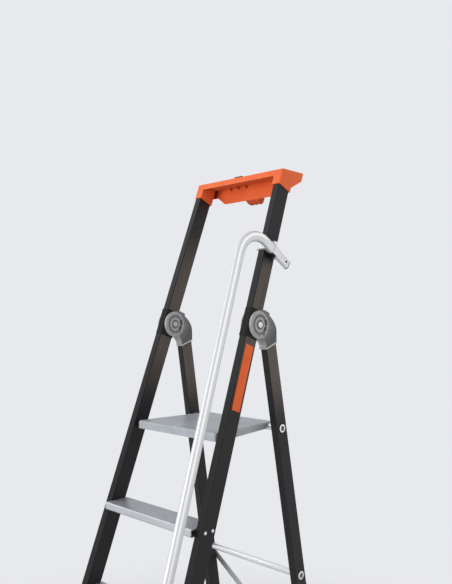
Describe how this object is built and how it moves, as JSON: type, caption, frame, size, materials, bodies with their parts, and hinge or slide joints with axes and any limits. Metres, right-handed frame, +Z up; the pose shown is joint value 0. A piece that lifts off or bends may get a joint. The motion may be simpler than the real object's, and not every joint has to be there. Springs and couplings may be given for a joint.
{
  "type": "stepladder",
  "caption": "Free-standing platform stepladder: leaning front frame with treads and a bent handrail, folding rear frame on disc hinges, folding platform and a tool-tray cap",
  "frame": {"origin": "Middle of the whole box in X and Y, on the ground", "axes": "+Z up, +Y the way the climber faces, +X on the climber's right, where the handrail is"},
  "size_m": [0.4852, 0.9188, 1.9634],
  "materials": {
    "dark_section": "dark anodised",
    "bright_tube": "satin drawn",
    "steel": "zinc plated",
    "grey_casting": "matte moulded",
    "grey_deck": "grey enamelled",
    "orange_plastic": "satin moulded",
    "black_plastic": "fine grain",
    "black_rubber": "moulded"
  },
  "bodies": {
    "front_frame": {"cap_pad": "black_plastic", "cap_screws": "steel", "carry_grip": "orange_plastic", "front_foot_left": "black_rubber", "front_foot_right": "black_rubber", "handrail_plugs": "black_plastic", "handrail_tube": "bright_tube", "hinge_pin_left": "steel", "hinge_pin_right": "steel", "hinge_sleeve_left": "black_plastic", "hinge_sleeve_right": "black_plastic", "platform_bushes": "grey_casting", "platform_pins": "steel", "rail_bolt_lower": "steel", "rail_bolt_upper": "steel", "rail_bracket_lower": "bright_tube", "rail_bracket_upper": "bright_tube", "rail_strap_lower": "bright_tube", "rail_strap_upper": "bright_tube", "stile_left": "dark_section", "stile_right": "dark_section", "top_cap": "orange_plastic", "tread_1": "bright_tube", "tread_2": "bright_tube", "tread_3": "bright_tube", "tread_4": "bright_tube", "tread_rivets": "steel"},
    "rear_frame": {"brace_rivets": "steel", "fork_rivets": "steel", "hinge_fork_left": "grey_casting", "hinge_fork_right": "grey_casting", "rear_brace_inner": "bright_tube", "rear_brace_outer": "bright_tube", "rear_foot_left": "black_rubber", "rear_foot_right": "black_rubber", "rear_leg_left": "dark_section", "rear_leg_right": "dark_section", "rear_tube_low": "bright_tube", "rear_tube_middle": "bright_tube", "rear_tube_top": "bright_tube"},
    "platform": {"hook_rivets": "steel", "platform_deck": "grey_deck", "platform_hook_left": "grey_casting", "platform_hook_right": "grey_casting"}
  },
  "joints": [
    {"name": "rear_fold", "type": "hinge", "parent": "front_frame", "child": "rear_frame", "pos_m": [-0.00342, 0.12275, 1.47455], "axis": [-1, 0, 0], "range_deg": [0, 29.9]},
    {"name": "platform_fold", "type": "hinge", "parent": "front_frame", "child": "platform", "pos_m": [-0.00342, 0.0013, 1.162], "axis": [1, 0, 0], "range_deg": [0, 70.15]}
  ],
  "couplings": [
    {"joint": "platform_fold", "follows": "rear_fold", "ratio": 2.3445}
  ]
}
